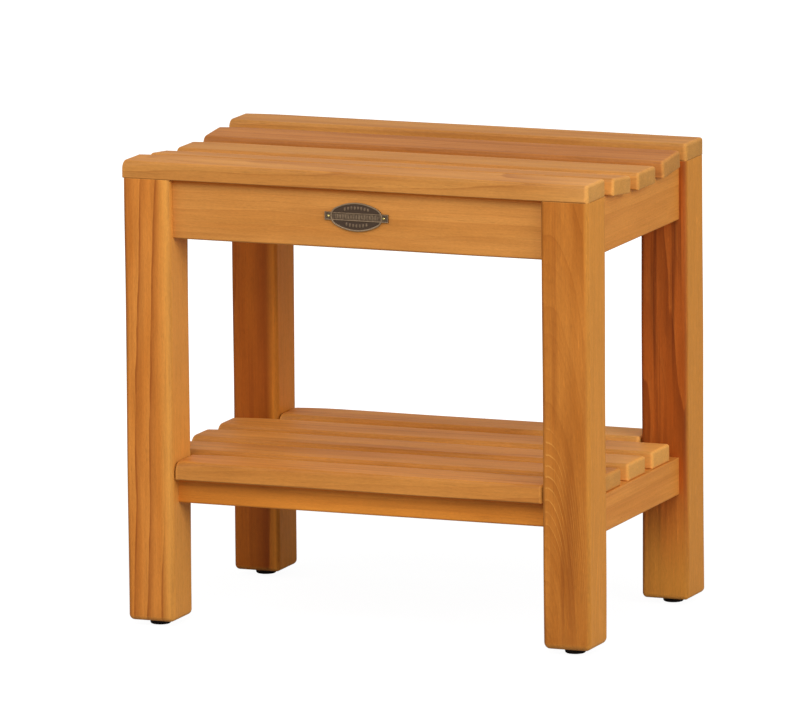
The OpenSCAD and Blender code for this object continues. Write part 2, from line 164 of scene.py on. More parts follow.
def bar(low, high, grain, edges, start, end, blunt, seed):
    """A sanded bar between two corners, its grain along the axis named. edges are the radii of
    its lower and upper long edges, and start and end those over which an end rolls in from the
    sides, from below and from above. blunt is what the upper edges' radius gains towards the
    start, with the square of the nearness to it. Returns its points, its faces and its marks."""
    order = {"x": [0, 1, 2], "y": [1, 0, 2], "z": [2, 0, 1]}[grain]
    low, high = np.array(low)[order], np.array(high)[order]
    roll = 1 - np.cos(np.linspace(0, math.pi / 2, ROLL_STEPS))
    r0, r1 = max(start), max(end)
    steps = int((high[0] - low[0]) / LONG_STEP)
    along = np.concatenate([low[0] + r0 * roll,
                            np.linspace(low[0] + r0, high[0] - r1, steps)[1:-1],
                            high[0] - r1 * roll[::-1]])
    inset = [rolled(along - low[0], a) + rolled(high[0] - along, b) for a, b in zip(start, end)]
    stray = [drift(along, seed + k) for k in range(3)]
    half = (high[1] - low[1]) / 2 - inset[0] - stray[0]
    bottom = low[2] + inset[1] + stray[1]
    top = high[2] - inset[2] - stray[2]
    sanded = 1 + EDGE_STRAY * np.sin(along / EDGE_WAVE + 1.3 * seed)
    r_low = np.maximum(edges[0] * sanded - np.maximum(inset[0], inset[1]), LEAST_R)
    worn = blunt * (1 - np.clip((along - low[0]) / BLUNT_REACH, 0, 1)) ** 2
    r_high = np.maximum(edges[1] * sanded + worn - np.maximum(inset[0], inset[2]), LEAST_R)
    outline, rounding, flank = section(half, bottom, top, r_low, r_high)
    rows, around = outline.shape[:2]
    points = np.empty((rows, around, 3))
    points[..., order[0]] = along[:, None]
    points[..., order[1]] = outline[..., 0] + (low[1] + high[1]) / 2
    points[..., order[2]] = outline[..., 1]
    near = np.minimum((along - low[0]) / r0, (high[0] - along) / r1)
    cut_end = np.clip(1 - near, 0, 1)[:, None]
    marks = {"long_edge": rounding * (1 - cut_end), "cut_end": cut_end + 0 * rounding,
             "flank": flank * (1 - cut_end)}
    return points, skin(rows, around), marks


def rocked(points, y):
    """Points of a slat drawn at the bottom of the dish, turned about the dish's line by the angle
    whose sine is y over the dish's radius."""
    turn = math.asin(y / DISH_R)
    across, up = points[..., 1].copy(), points[..., 2] - DISH_Z
    points[..., 1] = across * math.cos(turn) - up * math.sin(turn)
    points[..., 2] = DISH_Z + across * math.sin(turn) + up * math.cos(turn)
    return points


# ---- shader graphs ----


def linear(red, green, blue):
    """A screen colour, 0 to 255, with the sRGB curve undone."""
    c = np.array([red, green, blue]) / 255
    c = np.where(c <= 0.04045, c / 12.92, ((c + 0.055) / 1.055) ** 2.4)
    return (*c.tolist(), 1.0)


class Graph:
    """Fills a node tree. Every method adds a node fed with values or outputs. node gives the
    node itself and the others its output."""

    def __init__(self, tree):
        self.tree = tree

    def node(self, kind, feeds=(), **settings):
        made = self.tree.nodes.new("ShaderNode" + kind)
        for key, value in settings.items():
            setattr(made, key, value)
        for socket, value in feeds:
            if isinstance(value, bpy.types.NodeSocket):
                self.tree.links.new(value, made.inputs[socket])
            else:
                made.inputs[socket].default_value = value
        return made

    def math(self, operation, *values):
        return self.node("Math", enumerate(values), operation=operation).outputs[0]

    def vector(self, operation, *values):
        return self.node("VectorMath", enumerate(values), operation=operation).outputs[0]

    def scaled(self, vector, factor):
        """A place or a colour times a factor."""
        made = self.node("VectorMath", [(0, vector), (3, factor)], operation="SCALE")
        return made.outputs[0]

    def dot(self, first, second):
        feeds = [(0, first), (1, second)]
        return self.node("VectorMath", feeds, operation="DOT_PRODUCT").outputs["Value"]

    def length(self, vector):
        return self.node("VectorMath", [(0, vector)], operation="LENGTH").outputs["Value"]

    def noise(self, place, detail=2.0, roughness=0.5, output="Fac"):
        feeds = [("Vector", place), ("Scale", 1.0), ("Detail", detail), ("Roughness", roughness)]
        return self.node("TexNoise", feeds).outputs[output]

    def remap(self, value, low, high, out_low=0.0, out_high=1.0):
        """A smooth step between two outputs while the value goes from low to high."""
        feeds = enumerate((value, low, high, out_low, out_high))
        return self.node("MapRange", feeds, interpolation_type="SMOOTHSTEP").outputs[0]

    def fade(self, value, low, high):
        """A smooth step down from 1 to 0."""
        return self.remap(value, low, high, 1.0, 0.0)

    def mix(self, share, first, second):
        """A blend of two colours, where a share of 1 is the second."""
        feeds = [(0, share), (6, first), (7, second)]
        return self.node("Mix", feeds, data_type="RGBA").outputs[2]

    def mark(self, name):
        """A number that a mesh keeps on its points."""
        return self.node("Attribute", attribute_name=name).outputs["Fac"]


def new_group(name, inputs, outputs):
    """A shader group with the sockets named: (name, kind, value) going in, (name, kind) out."""
    tree = bpy.data.node_groups.new(name, "ShaderNodeTree")
    for label, kind, value in inputs:
        socket = tree.interface.new_socket(label, in_out="INPUT", socket_type="NodeSocket" + kind)
        if value is not None:
            socket.default_value = value
    for label, kind in outputs:
        tree.interface.new_socket(label, in_out="OUTPUT", socket_type="NodeSocket" + kind)
    return tree, Graph(tree), tree.nodes.new("NodeGroupInput").outputs


def put_out(tree, **values):
    """Links values to a group's outputs of the same names."""
    made = tree.nodes.new("NodeGroupOutput")
    for label, value in values.items():
        tree.links.new(value, made.inputs[label])


# The wood's patterns of noise: repeats in a millimetre along the grain and across it, detail and
# roughness.
PATTERNS = {
    "sway": (0.004, 0.014, 2.0, 0.5),
    "ripple": (0.014, 0.12, 3.0, 0.5),
    "breaks": (0.02, 0.16, 3.0, 0.5),
    "tone": (0.005, 0.035, 3.0, 0.5),
    "streak": (0.003, 0.14, 2.0, 0.5),
    "thread": (0.008, 0.5, 3.0, 0.6),
    "fleck": (0.25, 1.0, 2.0, 0.6),
    "fibre": (0.03, 1.6, 3.0, 0.6),
    "cloud": (0.022, 0.09, 3.0, 0.6),
    "glint": (0.06, 0.8, 2.0, 0.5),
    "pore": (0.07, 1.5, 2.0, 0.5),
}
SEED_STEP = (37.0, 91.0, 53.0)                          # from one seed's noise to the next one's
RIPPLE_REACH = 0.35                                     # share of a ring's width
UNEVEN_REPEATS = 0.045
SHADE_BASE = 0.55
# Painted shade just under a board's top, in the shadow of the board over it: how far down it
# reaches and the tint the colour is multiplied by.
RECESS_SHADE_REACH = 6.0                                        # in millimetres
RECESS_SHADE_TINT = (1.15, 0.7, 0.12)
NO_RECESS_SHADE = 1000.0                                        # above the top of any board


def drawn(g, spot, pattern, output="Fac"):
    """Noise of one of the wood's patterns, long along the grain and narrow across it."""
    along, across, detail, roughness = PATTERNS[pattern]
    place = g.vector("MULTIPLY", spot, (along, across, across))
    return g.noise(place, detail, roughness, output)


def growth(g, given, spot, along):
    """Growth rings as cylinders round a pith line that leans away from the board: the distance
    from the line, swayed and rippled, over a ring's width. Gives how far a place is through its
    ring, from 0 to 1, and a number of the ring's own."""
    sway = g.vector("SUBTRACT", drawn(g, spot, "sway", "Color"), (0.5, 0.5, 0.5))
    pith = g.vector("ADD", given["Pith"], g.scaled(given["Lean"], along))
    off = g.vector("SUBTRACT", given["Place"], pith)
    off = g.vector("ADD", off, g.scaled(sway, given["Wander"]))
    radius = g.length(g.vector("MULTIPLY", off, (0, 1, 1)))
    ripple = g.math("SUBTRACT", drawn(g, spot, "ripple"), 0.5)
    reach = g.math("MULTIPLY", given["Ring"], RIPPLE_REACH)
    radius = g.math("MULTIPLY_ADD", ripple, reach, radius)
    beat = g.math("MULTIPLY", radius, UNEVEN_REPEATS)
    uneven = g.noise(g.node("CombineXYZ", [(0, beat), (1, given["Seed"])]).outputs[0], 1.0)
    uneven = g.math("MULTIPLY", g.math("SUBTRACT", uneven, 0.5), given["Uneven"])
    count = g.math("ADD", g.math("DIVIDE", radius, given["Ring"]), uneven)
    year = g.math("ADD", g.math("FLOOR", count), given["Seed"])
    year = g.node("TexWhiteNoise", [("W", year)], noise_dimensions="1D").outputs["Value"]
    return g.math("FRACT", count), year


def teak_group():
    """Solid teak, in millimetres, with the grain along X. Growth rings show as arches on a face
    cut along them, as lines on one cut across them and as arcs on an end. A ring darkens towards
    its late wood and may begin with a pale line. The pale lines fade where the dot product of
    the plain side and the place strays by 1 from the plain middle. Streaks, threads, flecks and
    pores are noise drawn out along the grain, and the wood turns to its sap tone where the dot
    product of the sap side and the place, or the place along times the sap end, nears 1. On the
    legs' sides that is the sapwood's own colour, and on the front seat slat, the shelf slats and
    towards the rear right leg's foot it is painted light. Just below the top of a recess, where
    light comes only off other wood, a painted shade deepens the colour. The sides of a slat are
    darkened by painted shade, the flank shade, and every rounded long edge by painted shade that
    dims the lamps' highlight on it."""
    inputs = [
        ("Place", "Vector", None), ("Seed", "Float", 0.0), ("Shade", "Float", 1.0),
        ("Pith", "Vector", (0, 60, 20)), ("Lean", "Vector", (0, 0, 0)),
        ("Ring", "Float", 6.0), ("Uneven", "Float", 1.5), ("Wander", "Float", 8.0),
        ("Ring depth", "Float", 0.3), ("Line depth", "Float", 0.1), ("Pale depth", "Float", 0.1),
        ("Streak depth", "Float", 0.15), ("Fleck depth", "Float", 0.06),
        ("Flank depth", "Float", 0.0),
        ("Sap side", "Vector", (0, 0, 0)), ("Sap end", "Float", 0.0),
        ("Plain side", "Vector", (0, 0, 0)), ("Plain middle", "Float", 0.0),
        ("Seam top", "Float", NO_RECESS_SHADE),
        ("Light", "Color", None), ("Mid", "Color", None), ("Dark", "Color", None),
        ("Sap", "Color", None), ("End", "Color", None),
    ]
    outputs = [("Color", "Color"), ("Roughness", "Float"), ("Height", "Float")]
    tree, g, given = new_group("teak", inputs, outputs)
    spot = g.vector("ADD", given["Place"], g.scaled(SEED_STEP, given["Seed"]))
    along, _, above = g.node("SeparateXYZ", [(0, given["Place"])]).outputs
    long_edge, cut_end, flank = (g.mark(name) for name in ("long_edge", "cut_end", "flank"))

    # Where in a ring each of its tones comes and goes.
    phase, year = growth(g, given, spot, along)
    broken = g.remap(drawn(g, spot, "breaks"), 0.38, 0.6)
    late = g.math("MULTIPLY", g.remap(phase, 0.3, 0.97), g.fade(phase, 0.97, 1.0))
    late = g.math("MULTIPLY", late, g.math("MULTIPLY_ADD", year, 0.8, 0.2))
    line = g.math("MULTIPLY", g.remap(phase, 0.83, 0.93), g.fade(phase, 0.95, 1.0))
    line = g.math("MULTIPLY", line, g.math("MULTIPLY_ADD", broken, 0.7, 0.3))
    pale = g.math("MULTIPLY", g.fade(phase, 0.03, 0.2), g.math("MULTIPLY_ADD", broken, 0.6, 0.4))
    plain = g.math("SUBTRACT", g.dot(given["Plain side"], given["Place"]), given["Plain middle"])
    pale = g.math("MULTIPLY", pale, g.fade(g.math("ABSOLUTE", plain), 0.4, 1.0))
    pale = g.math("MULTIPLY", pale, g.fade(long_edge, 0.0, 0.6))
    pale = g.math("MULTIPLY", pale, given["Pale depth"])

    # The colour, laid over the last one share by share.
    tone = g.remap(drawn(g, spot, "tone"), 0.32, 0.68)
    tone = g.math("MULTIPLY_ADD", tone, 0.75, g.math("MULTIPLY", year, 0.25))
    streak = g.remap(drawn(g, spot, "streak"), 0.52, 0.7)
    # Where the sap tone comes in: the sapwood's own colour on the legs' sides, and painted light
    # on the slats and towards the rear right leg's foot.
    sap_and_light = g.dot(given["Sap side"], given["Place"])
    sap_and_light = g.math("MAXIMUM", sap_and_light, g.math("MULTIPLY", along, given["Sap end"]))
    sap_and_light = g.math("MULTIPLY_ADD", g.math("SUBTRACT", tone, 0.5), 0.15, sap_and_light)
    colour = g.mix(tone, given["Light"], given["Mid"])
    for share, depth in ((streak, "Streak depth"), (late, "Ring depth"), (line, "Line depth")):
        colour = g.mix(g.math("MULTIPLY", share, given[depth]), colour, given["Dark"])
    colour = g.mix(g.math("MULTIPLY", pale, 0.5), colour, given["End"])
    colour = g.mix(g.remap(sap_and_light, 0.45, 1.0), colour, given["Sap"])
    colour = g.mix(g.math("MULTIPLY", cut_end, 0.55), colour, given["End"])
    # Painted shade: just under the recess shade's top the colour is deepened and warmed, as in the
    # shadow under the board above.
    recess_shade = g.remap(g.math("SUBTRACT", above, given["Seam top"]), -RECESS_SHADE_REACH, 0.0)
    colour = g.mix(recess_shade, colour, g.vector("MULTIPLY", colour, RECESS_SHADE_TINT))

    # What brightens and darkens it: a base, and each mark times its weight added on.
    thread, fleck, fibre, cloud = (drawn(g, spot, name)
                                   for name in ("thread", "fleck", "fibre", "cloud"))
    glint = g.remap(drawn(g, spot, "glint"), 0.64, 0.74)
    pore = g.math("MULTIPLY", g.remap(phase, 0.0, 0.6, 1.0, 0.4),
                  g.remap(drawn(g, spot, "pore"), 0.6, 0.7))
    lip = g.math("MULTIPLY", cut_end, g.math("SUBTRACT", 1.0, cut_end))
    speckle = g.math("MULTIPLY", g.math("SUBTRACT", fibre, 0.5), cut_end)
    shade = SHADE_BASE
    for share, weight in ((thread, 0.24), (cloud, 0.18), (fleck, 0.3), (fibre, 0.18),
                          (pore, -0.16), (pale, 0.2), (glint, given["Fleck depth"]),
                          (lip, 0.5), (speckle, 0.6)):
        shade = g.math("MULTIPLY_ADD", share, weight, shade)
    # Painted shade on the rounded long edges, which dims the highlight the lamps give them; the
    # broken noise varies it a little.
    edge_shade = g.math("MULTIPLY", long_edge, g.math("MULTIPLY_ADD", broken, 0.08, -0.26))
    shade = g.math("ADD", shade, edge_shade)
    # Painted shade on a board's sides: the flank mark times the flank shade, taken off the board's
    # shade.
    flank = g.math("MULTIPLY", flank, given["Flank depth"])
    shade = g.math("MULTIPLY", shade, g.math("SUBTRACT", given["Shade"], flank))
    rough = g.math("MULTIPLY_ADD", pore, 0.2, g.math("MULTIPLY_ADD", thread, -0.2, 0.6))
    height = g.math("MULTIPLY_ADD", pore, -0.8, g.math("MULTIPLY", fibre, 0.5))
    height = g.math("MULTIPLY_ADD", fleck, 0.4, height)
    put_out(tree, Color=g.scaled(colour, shade), Roughness=rough, Height=height)
    return tree


MOTTLE_REPEATS, GRIT_REPEATS, RUBBER_REPEATS = 0.5, 2.2, 1.4    # in a millimetre


def metal_group():
    """Cast or turned metal, in millimetres: mottled in its recesses, rubbed bright where the
    raised mark is 1, with the roughness following a fine noise."""
    inputs = [("Place", "Vector", None), ("Deep", "Color", None), ("Rubbed", "Color", None),
              ("Roughness", "Float", 0.4)]
    outputs = [("Color", "Color"), ("Roughness", "Float"), ("Height", "Float")]
    tree, g, given = new_group("metal", inputs, outputs)
    mottle = g.noise(g.scaled(given["Place"], MOTTLE_REPEATS), 3.0)
    grit = g.noise(g.scaled(given["Place"], GRIT_REPEATS))
    worn = g.remap(g.math("MULTIPLY_ADD", mottle, 0.7, g.mark("raised")), 0.5, 1.3)
    colour = g.mix(worn, given["Deep"], given["Rubbed"])
    colour = g.scaled(colour, g.math("MULTIPLY_ADD", grit, 0.5, 0.75))
    rough = g.math("MULTIPLY_ADD", g.math("SUBTRACT", grit, 0.5), 0.3, given["Roughness"])
    put_out(tree, Color=colour, Roughness=rough, Height=grit)
    return tree


def new_material(name, **constants):
    """A material with one Principled BSDF; the constants go straight onto its sockets."""
    material = bpy.data.materials.new(name)
    material.use_nodes = True
    shader = material.node_tree.nodes["Principled BSDF"]
    for socket, value in constants.items():
        shader.inputs[socket.replace("_", " ")].default_value = value
    return material, Graph(material.node_tree), shader


def join(tree, shader, height, depth, **links):
    """Links outputs to the shader's sockets, and a height to its Normal through a Bump node."""
    for socket, value in links.items():
        tree.links.new(value, shader.inputs[socket.replace("_", " ")])
    bump = tree.nodes.new("ShaderNodeBump")
    bump.inputs["Distance"].default_value = depth
    tree.links.new(height, bump.inputs["Height"])
    tree.links.new(bump.outputs[0], shader.inputs["Normal"])


# Turns that lay the grain along X.
GRAIN_TURN = {
    "x": Matrix.Identity(3),
    "y": Matrix(((0, 1, 0), (-1, 0, 0), (0, 0, 1))),
    "z": Matrix(((0, 0, 1), (1, 0, 0), (0, 1, 0))),
}
# Screen colours of the boards: light wood, middle tone, ring lines and streaks, sap side. The sap
# tone is the sapwood's colour on the legs; for sand and wheat it is painted light, a lighter tone
# where the slats catch more light.
TONES = {
    "amber": ((209, 133, 56), (191, 112, 38), (140, 68, 16), (216, 146, 64)),
    "russet": ((190, 118, 44), (162, 91, 24), (134, 66, 16), (209, 137, 53)),
    "umber": ((191, 103, 25), (174, 88, 18), (114, 40, 3), (214, 133, 43)),
    "cinnamon": ((200, 106, 36), (166, 80, 20), (100, 38, 5), (208, 136, 52)),
    "gold": ((202, 136, 65), (184, 118, 50), (154, 87, 30), (202, 136, 65)),
    "honey": ((222, 148, 67), (206, 131, 53), (176, 98, 32), (222, 148, 67)),
    "sand": ((206, 141, 68), (189, 122, 54), (150, 85, 29), (226, 164, 92)),
    "rose": ((193, 124, 61), (175, 106, 46), (138, 75, 28), (193, 124, 61)),
    "wheat": ((211, 140, 64), (195, 122, 49), (152, 82, 29), (228, 160, 80)),
    "fawn": ((214, 134, 48), (194, 115, 35), (153, 80, 20), (214, 134, 48)),
}
END_TONE = (194, 141, 67)
PORE_DEPTH, GRIT_DEPTH = 0.06 * MM, 0.05 * MM
teak_tree = teak_group()
metal_tree = metal_group()


def grouped(g, tree, feeds):
    """A node of a shared group, fed by name. Colours are screen colours, and a place given as a
    pair lies across the grain."""
    made = g.node("Group", node_tree=tree)
    for key, value in feeds.items():
        socket = made.inputs[key.replace("_", " ")]
        if isinstance(value, bpy.types.NodeSocket):
            g.tree.links.new(value, socket)
        elif socket.type == "RGBA":
            socket.default_value = linear(*value)
        elif isinstance(value, tuple):
            socket.default_value = (0, *value)[-3:]
        else:
            socket.default_value = value
    return made.outputs


def teak(name, tone, grain, centre, **values):
    """Teak for one board: the grain's frame has its origin in the board's middle."""
    material, g, shader = new_material(name, IOR=1.45, Specular_IOR_Level=0.2)
    turn = GRAIN_TURN[grain]
    offset = turn @ Vector(centre) * -PER_M
    place = g.node("TexCoord").outputs["Object"]
    place = g.node("Mapping", [("Vector", place), ("Location", offset),
                               ("Rotation", turn.to_euler()), ("Scale", (PER_M,) * 3)])
    values.update(zip(("Light", "Mid", "Dark", "Sap"), TONES[tone]), Place=place.outputs[0],
                  End=END_TONE)
    out = grouped(g, teak_tree, values)
    join(g.tree, shader, out["Height"], PORE_DEPTH, Base_Color=out["Color"],
         Roughness=out["Roughness"])
    return material


def metal(name, deep, rubbed, roughness, metallic=1.0):
    """Metal with a colour for its recesses and one for where it is rubbed."""
    material, g, shader = new_material(name, Metallic=metallic)
    place = g.scaled(g.node("TexCoord").outputs["Object"], PER_M)
    out = grouped(g, metal_tree, dict(Place=place, Deep=deep, Rubbed=rubbed,
                                      Roughness=roughness))
    join(g.tree, shader, out["Height"], GRIT_DEPTH, Base_Color=out["Color"],
         Roughness=out["Roughness"])
    return material


# ---- the boards ----


def board(node, grain, low, high, edges, start, end, tone, seed, slot, rock=0.0, blunt=0.0,
          **figure):
    """A teak board that replaces a node of the same place and size."""
    points, faces, marks = bar(low, high, grain, edges, start, end, blunt, seed)
    if rock:
        points = rocked(points, rock)
    thing = solid(node + "_teak", [(points, faces)], "bench", [node], marks)
    centre = (Vector(low) + Vector(high)) / 2
    thing.data.materials.append(teak("teak_" + node, tone, grain, centre, Seed=seed, **figure))


def legs():
    """Four upright bars, each with its own tone, foot radius and figure."""
    figures = {
        "leg_front_left": ("amber", 5.5 * MM, dict(
            Pith=(107, 12), Lean=(0.025, 0), Ring=13.8, Uneven=0.3, Wander=7, Ring_depth=0.7,
            Line_depth=0.6, Pale_depth=0.1, Sap_side=(0.048, 0.0))),
        "leg_front_right": ("russet", 6.5 * MM, dict(
            Pith=(-18, 11.5), Lean=(0, 0.14), Ring=1.6, Uneven=2.5, Wander=9, Ring_depth=0.15,
            Line_depth=0.05, Streak_depth=0.35, Pale_depth=1.0, Fleck_depth=0.2,
            Plain_side=(0.0147, 0.03, 0.0), Plain_middle=-1.2, Sap_side=(0.105, 0.061))),
        "leg_rear_left": ("umber", 5 * MM, dict(
            Pith=(-80, 5), Lean=(0.03, 0), Ring=34, Uneven=0.1, Wander=9, Ring_depth=0.8,
            Line_depth=0.3, Streak_depth=0.3, Sap_side=(0.045, 0.0))),
        # On the rear right leg the sap end is painted light: its front lightens towards the foot,
        # as more light reaches it under the shelf.
        "leg_rear_right": ("cinnamon", 5 * MM, dict(
            Pith=(-30, 60), Lean=(0.05, 0.05), Ring=6, Uneven=1.5, Wander=30, Ring_depth=0.45,
            Streak_depth=0.7, Fleck_depth=0.2, Sap_side=(0.086, 0.057), Sap_end=-0.0052)),
    }
    edge, top = 4 * MM, 0.3 * MM
    for seed, (node, (tone, foot, figure)) in enumerate(figures.items(), FIRST_SEED["legs"]):
        low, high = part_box(node)
        board(node, "z", low, high, (edge, edge), (foot,) * 3, (top,) * 3, tone, seed,
              "teak_leg", **figure)


def aprons():
    """The two deep boards between the legs, under the capping slats."""
    edge, sharp = 2 * MM, 0.4 * MM
    for seed, end in enumerate(ENDS, FIRST_SEED["aprons"]):
        node = end + "_apron"
        low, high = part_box(node)
        low.x, high.x = -CLEAR_X, CLEAR_X                # without its tenons
        # Each apron gets painted shade along the top of its face, under the capping slat's
        # overhang.
        board(node, "x", low, high, (edge, sharp), (sharp,) * 3, (sharp,) * 3, "gold",
              seed, "teak_rail", Pith=(90, -30), Ring=3, Wander=6, Ring_depth=0.25,
              Streak_depth=0.2, Fleck_depth=0.1, Seam_top=(high.z - low.z) / MM / 2)


def seat_slats():
    """The two slats that cap the legs, and the three between them, each drawn at the bottom of
    the dish and rocked to its own place."""
    edge, joint, under, upright, crisp, blunt = (r * MM for r in (3, 1, 1.5, 4, 2, 5))
    # Painted light and shade on the seat slats: the flank shade darkens a slat's sides, and the
    # front slat is also brightened, so that its top is lighter than its front, and it lightens
    # towards its right end.
    capping = {
        "front": dict(Pith=(14, -42), Ring=9, Wander=20, Lean=(0, 0.05), Ring_depth=0.5,
                      Line_depth=0.3, Shade=1.07, Flank_depth=0.18, Sap_side=(0.003, 0.0, 0.0)),
        "rear": dict(Pith=(-30, -50), Ring=7, Wander=10, Flank_depth=0.15),
    }
    dished = {
        "second": (-SLAT_PITCH, "sand", dict(Pith=(10, -60), Ring=8, Wander=8, Shade=1.1)),
        "middle": (0.0, "sand", dict(Pith=(70, -20), Ring=6, Wander=6)),
        "fourth": (SLAT_PITCH, "rose", dict(Pith=(-20, 40), Ring=7, Wander=12,
                                            Streak_depth=0.3, Flank_depth=0.05)),
    }
    for seed, end in enumerate(ENDS, FIRST_SEED["capping"]):
        node = "seat_slat_" + end
        low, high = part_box(node)
        low.x = middle_low.x                             # as long as the dished slats, to the left
        board(node, "x", low, high, (joint, edge), (crisp, joint, crisp), (upright, joint, edge),
              "sand", seed, "teak_seat_slat", blunt=blunt, **capping[end])
    low = Vector((middle_low.x, -SLAT_W / 2, middle_low.z))
    high = Vector((middle_high.x, SLAT_W / 2, middle_high.z))
    for seed, (name, (y, tone, figure)) in enumerate(dished.items(), FIRST_SEED["dished"]):
        board("seat_slat_" + name, "x", low, high, (under, edge), (crisp, under, crisp),
              (edge, under, edge), tone, seed, "teak_seat_slat", rock=y, blunt=blunt, **figure)


def shelf_slats():
    """The five flat slats, front to rear, each with its shade, a brightness that paints in the
    light the shelf gets under the seat, the depth of the painted shade on its sides, and the slope
    of a painted light that lightens it towards its right end, away from the left legs' shadow.
    """
    edge, under, crisp, blunt = (r * MM for r in (3, 1.5, 2, 7))
    figures = {"front": (1.03, 0.17, 0.0), "second": (1.08, 0.1, 0.002),
               "middle": (1.08, 0.1, 0.004), "fourth": (1.14, 0.12, 0.004),
               "rear": (1.1, 0.0, 0.008)}
    deeper, higher = {"front": 1.1 * MM}, {"rear": 1.1 * MM}
    for row, (name, (shade, flank, sap_and_light)) in enumerate(figures.items()):
        node = "shelf_slat_" + name
        low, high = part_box(node)
        low.z -= deeper.get(name, 0)
        high.z += higher.get(name, 0)
        board(node, "x", low, high, (under, edge), (crisp, under, edge), (edge, under, edge),
              "wheat", FIRST_SEED["shelf"] + row, "teak_shelf_slat", blunt=blunt,
              Pith=(40 - 30 * row, -45), Lean=(0.02 * (row - 2), 0), Ring=7, Wander=9,
              Shade=shade, Flank_depth=flank, Sap_side=(sap_and_light, 0.0, 0.0))


def dress(node, material):
    """Gives a CAD node that is kept its material."""
    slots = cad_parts[node].data.materials
    slots.clear()
    slots.append(material)


def rails():
    """The rails keep their CAD solids, with dished tops and screw ways, and get the teak."""
    figures = {"seat_rail_left": ("honey", "y", 1.0), "seat_rail_right": ("honey", "y", 1.0),
               "shelf_rail_left": ("honey", "y", 1.04), "shelf_rail_right": ("honey", "y", 1.04),
               "shelf_rail_front": ("fawn", "x", 1.0), "shelf_rail_rear": ("fawn", "x", 1.0)}
    for seed, (node, (tone, grain, shade)) in enumerate(figures.items(), FIRST_SEED["rails"]):
        low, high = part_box(node)
        # The front and rear shelf rails get painted shade just under their tops, below the shelf
        # slats' overhang.
        recess_shade = (high.z - low.z) / MM / 2 if grain == "x" else NO_RECESS_SHADE
        dress(node, teak("teak_" + node, tone, grain, (low + high) / 2, Seed=seed,
                         Pith=(70, -20), Ring=4, Wander=8, Ring_depth=0.2, Shade=shade,
                         Seam_top=recess_shade))


# ---- the nameplate, in millimetres ----

plate_low, plate_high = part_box("nameplate")
_, pins_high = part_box("nameplate_pins")
PLATE_Z = (plate_low.z + plate_high.z) / 2              # in metres
PLATE_T, PLATE_RELIEF, PLATE_RIM = 1.2, 0.6, 1.3
OVAL_A, OVAL_B = 25.0, (plate_high.z - plate_low.z) * PER_M / 2
TIP_R = 9.0
TIP_X = OVAL_A - TIP_R
ARC_R = (TIP_X ** 2 + OVAL_B ** 2 - TIP_R ** 2) / (2 * OVAL_B - 2 * TIP_R)
ARC_Y = ARC_R - OVAL_B
MEET_X = TIP_X * ARC_R / (ARC_R - TIP_R)                # where the long arcs turn into the tips
OVAL_COLUMNS, OVAL_ROWS, OVAL_STOP = 170, 110, 0.99
BEADS_ABOVE, BEADS_BELOW, BEAD_PITCH = 8, 7, 3.2
BEAD_INSET, BEAD_BEND = 4.9, 0.012                      # of the rows' middles, and their curve
BEAD_A, BEAD_B, BEAD_H = 1.25, 1.9, 0.62                # the height as a share of the relief
STRAP_A, STRAP_B, STRAP_BASE = plate_high.x * PER_M, 3.65, 0.45
STRAP_COLUMNS, STRAP_ROWS = 420, 44
BORDER_LONG, BORDER_END = 0.35, 0.4
RIB_PITCH, RIB_HALF, RIBS_END = 2.6, 2.3, 20.5
PIN_R, PIN_HEAD_R, PIN_HEAD_H, PIN_L, PIN_TIP = 0.6, 1.2, 0.8, 8.0, 0.8
PIN_X = pins_high.x * PER_M - PIN_HEAD_R


def on_apron(across, up, out):
    """Points on the apron's face, in metres, from millimetres across, up and out of it."""
    y = plate_high.y - np.asarray(out) * MM
    return np.stack(np.broadcast_arrays(np.asarray(across) * MM, y,
                                        PLATE_Z + np.asarray(up) * MM), -1)


def pillow(distance, reach):
    """1 in the middle and 0 at reach, with a flat top: 1 minus the fourth power."""
    return np.clip(1 - (distance / reach) ** 4, 0, 1)


def spread(count, stop=1.0):
    """Places from about -1 to 1 that lie closer together at both ends: the sine of an even
    spread of angles."""
    return np.sin(np.linspace(-1, 1, count) * math.pi / 2 * stop)


def oval_half(across):
    """Half the oval's height: the long arc up to where it meets the tip's circle."""
    long_arc = np.sqrt(ARC_R ** 2 - across ** 2) - ARC_Y
    tip = np.sqrt(np.clip(TIP_R ** 2 - (np.abs(across) - TIP_X) ** 2, 0, None))
    return np.where(np.abs(across) < MEET_X, long_arc, tip)


def oval_inside(across, up):
    """Distance inside the oval's outline: a radius less the distance from the arc's centre, or
    from the tip's past the line through both centres."""
    across, up = np.abs(across), np.abs(up)
    by_arc = across * ARC_Y < TIP_X * (up + ARC_Y)
    return np.where(by_arc, ARC_R - np.hypot(across, up + ARC_Y),
                    TIP_R - np.hypot(across - TIP_X, up))


def relief(across, up):
    """Height of the oval's face above its field, as a share of the relief: a round rim, and a row
    of upright beads above and below the strap."""
    inside = oval_inside(across, up) / PLATE_RIM
    rim = np.sqrt(np.clip(1 - (1.3 * inside - 0.5) ** 2, 0, 1))
    height = np.where(inside < 1, rim, 0)
    for side, count in ((1, BEADS_ABOVE), (-1, BEADS_BELOW)):
        for x in BEAD_PITCH * (np.arange(count) - (count - 1) / 2):
            row = side * (OVAL_B - BEAD_INSET - BEAD_BEND * x * x)
            away = np.hypot((across - x) / BEAD_A, (up - row) / BEAD_B)
            height = np.maximum(height, BEAD_H * pillow(away, 1.0))
    return height


def plaque(across, up, out, raised):
    """A shell with a field of heights for its front and a flat back on the apron, as a tube of
    rings along X, and its raised mark."""
    points = np.concatenate([on_apron(across, up, out), on_apron(across, up[:, [-1, 0]], 0.0)], 1)
    mark = np.concatenate([raised, np.zeros((len(across), 2))], 1)
    return (points, skin(*points.shape[:2])), mark.ravel()


